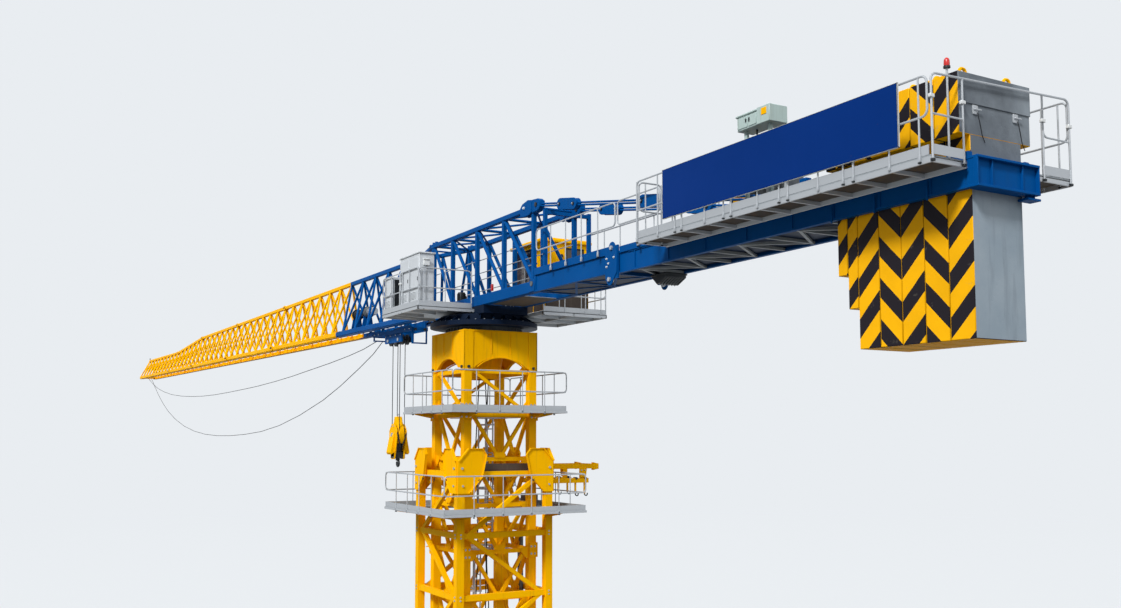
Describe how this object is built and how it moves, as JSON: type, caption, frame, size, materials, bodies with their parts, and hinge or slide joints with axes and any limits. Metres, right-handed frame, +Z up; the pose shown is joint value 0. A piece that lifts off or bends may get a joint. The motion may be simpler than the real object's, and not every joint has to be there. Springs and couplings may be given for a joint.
{
  "type": "flat-top tower crane, 1:10 scale model",
  "caption": "Flat-top tower crane at 1:10 with a lattice mast, climbing cage, slewing head, lattice jib with trolley and hook, and a counter-jib with striped slabs",
  "frame": {"origin": "centre of the base frame's underside on the ground", "axes": "+Z up along the slewing axis, -X along the jib towards its tip, +Y towards the cab"},
  "size_m": [7.0027, 0.527, 2.5721],
  "materials": {
    "yellow_paint": "satin",
    "blue_paint": "satin",
    "navy_paint": "satin",
    "sign_paint": "satin",
    "grey_paint": "satin",
    "galvanised_steel": "matte",
    "dark_steel": "satin",
    "tinted_glass": "gloss",
    "concrete": "matte",
    "wire_rope": "matte"
  },
  "bodies": {
    "mast": {"base_frame": "galvanised_steel", "mast_legs": "yellow_paint", "mast_side_near": "yellow_paint", "mast_side_far": "yellow_paint", "mast_side_front": "yellow_paint", "mast_side_rear": "yellow_paint", "mast_ladders": "galvanised_steel", "slewing_support": "yellow_paint", "bearing_ring": "dark_steel", "upper_platform": "galvanised_steel", "cage_posts": "yellow_paint", "cage_near": "yellow_paint", "cage_far": "yellow_paint", "cage_front": "yellow_paint", "cage_rear": "yellow_paint", "lower_platform": "galvanised_steel", "loading_beams": "yellow_paint"},
    "upper": {"turntable": "navy_paint", "slewing_drives": "blue_paint", "head_near": "blue_paint", "head_far": "blue_paint", "head_bracing": "blue_paint", "head_girders": "blue_paint", "girder_rails": "galvanised_steel", "jib_root_near": "blue_paint", "jib_root_far": "blue_paint", "jib_root_bottom": "blue_paint", "jib_near": "yellow_paint", "jib_far": "yellow_paint", "jib_bottom": "yellow_paint", "trolley_winch": "dark_steel", "near_platform": "galvanised_steel", "cabinets": "grey_paint", "far_platform": "galvanised_steel", "cab_body": "yellow_paint", "cab_glass": "tinted_glass", "counter_girders": "blue_paint", "counter_bracing": "galvanised_steel", "walkway": "galvanised_steel", "far_rear_platform": "galvanised_steel", "sign_panel": "sign_paint", "hoist_winch": "yellow_paint", "control_box": "grey_paint", "tie_bars": "blue_paint", "under_box": "dark_steel", "counterweights": "concrete", "slack_ropes": "wire_rope"},
    "trolley": {"trolley_frame": "blue_paint", "trolley_rollers": "dark_steel", "hoist_ropes": "wire_rope"},
    "block": {"hook_block": "yellow_paint"},
    "hook_swivel": {"hook": "dark_steel"}
  },
  "joints": [
    {"name": "slewing", "type": "hinge", "parent": "mast", "child": "upper", "pos_m": [0, 0, 2.286], "axis": [0, 0, 1], "range_deg": [-540, 540]},
    {"name": "trolley_travel", "type": "slide", "parent": "upper", "child": "trolley", "axis": [-0.9999, 0, 0.014], "range_m": [-0.2, 4.55], "deforming": ["slack_ropes"]},
    {"name": "hoist", "type": "slide", "parent": "trolley", "child": "block", "axis": [0, 0, 1], "range_m": [-1.9, 0.14], "deforming": ["hoist_ropes"]},
    {"name": "hook_turn", "type": "hinge", "parent": "block", "child": "hook_swivel", "pos_m": [-0.60066, 0, 2.026], "axis": [0, 0, 1], "continuous": true}
  ]
}
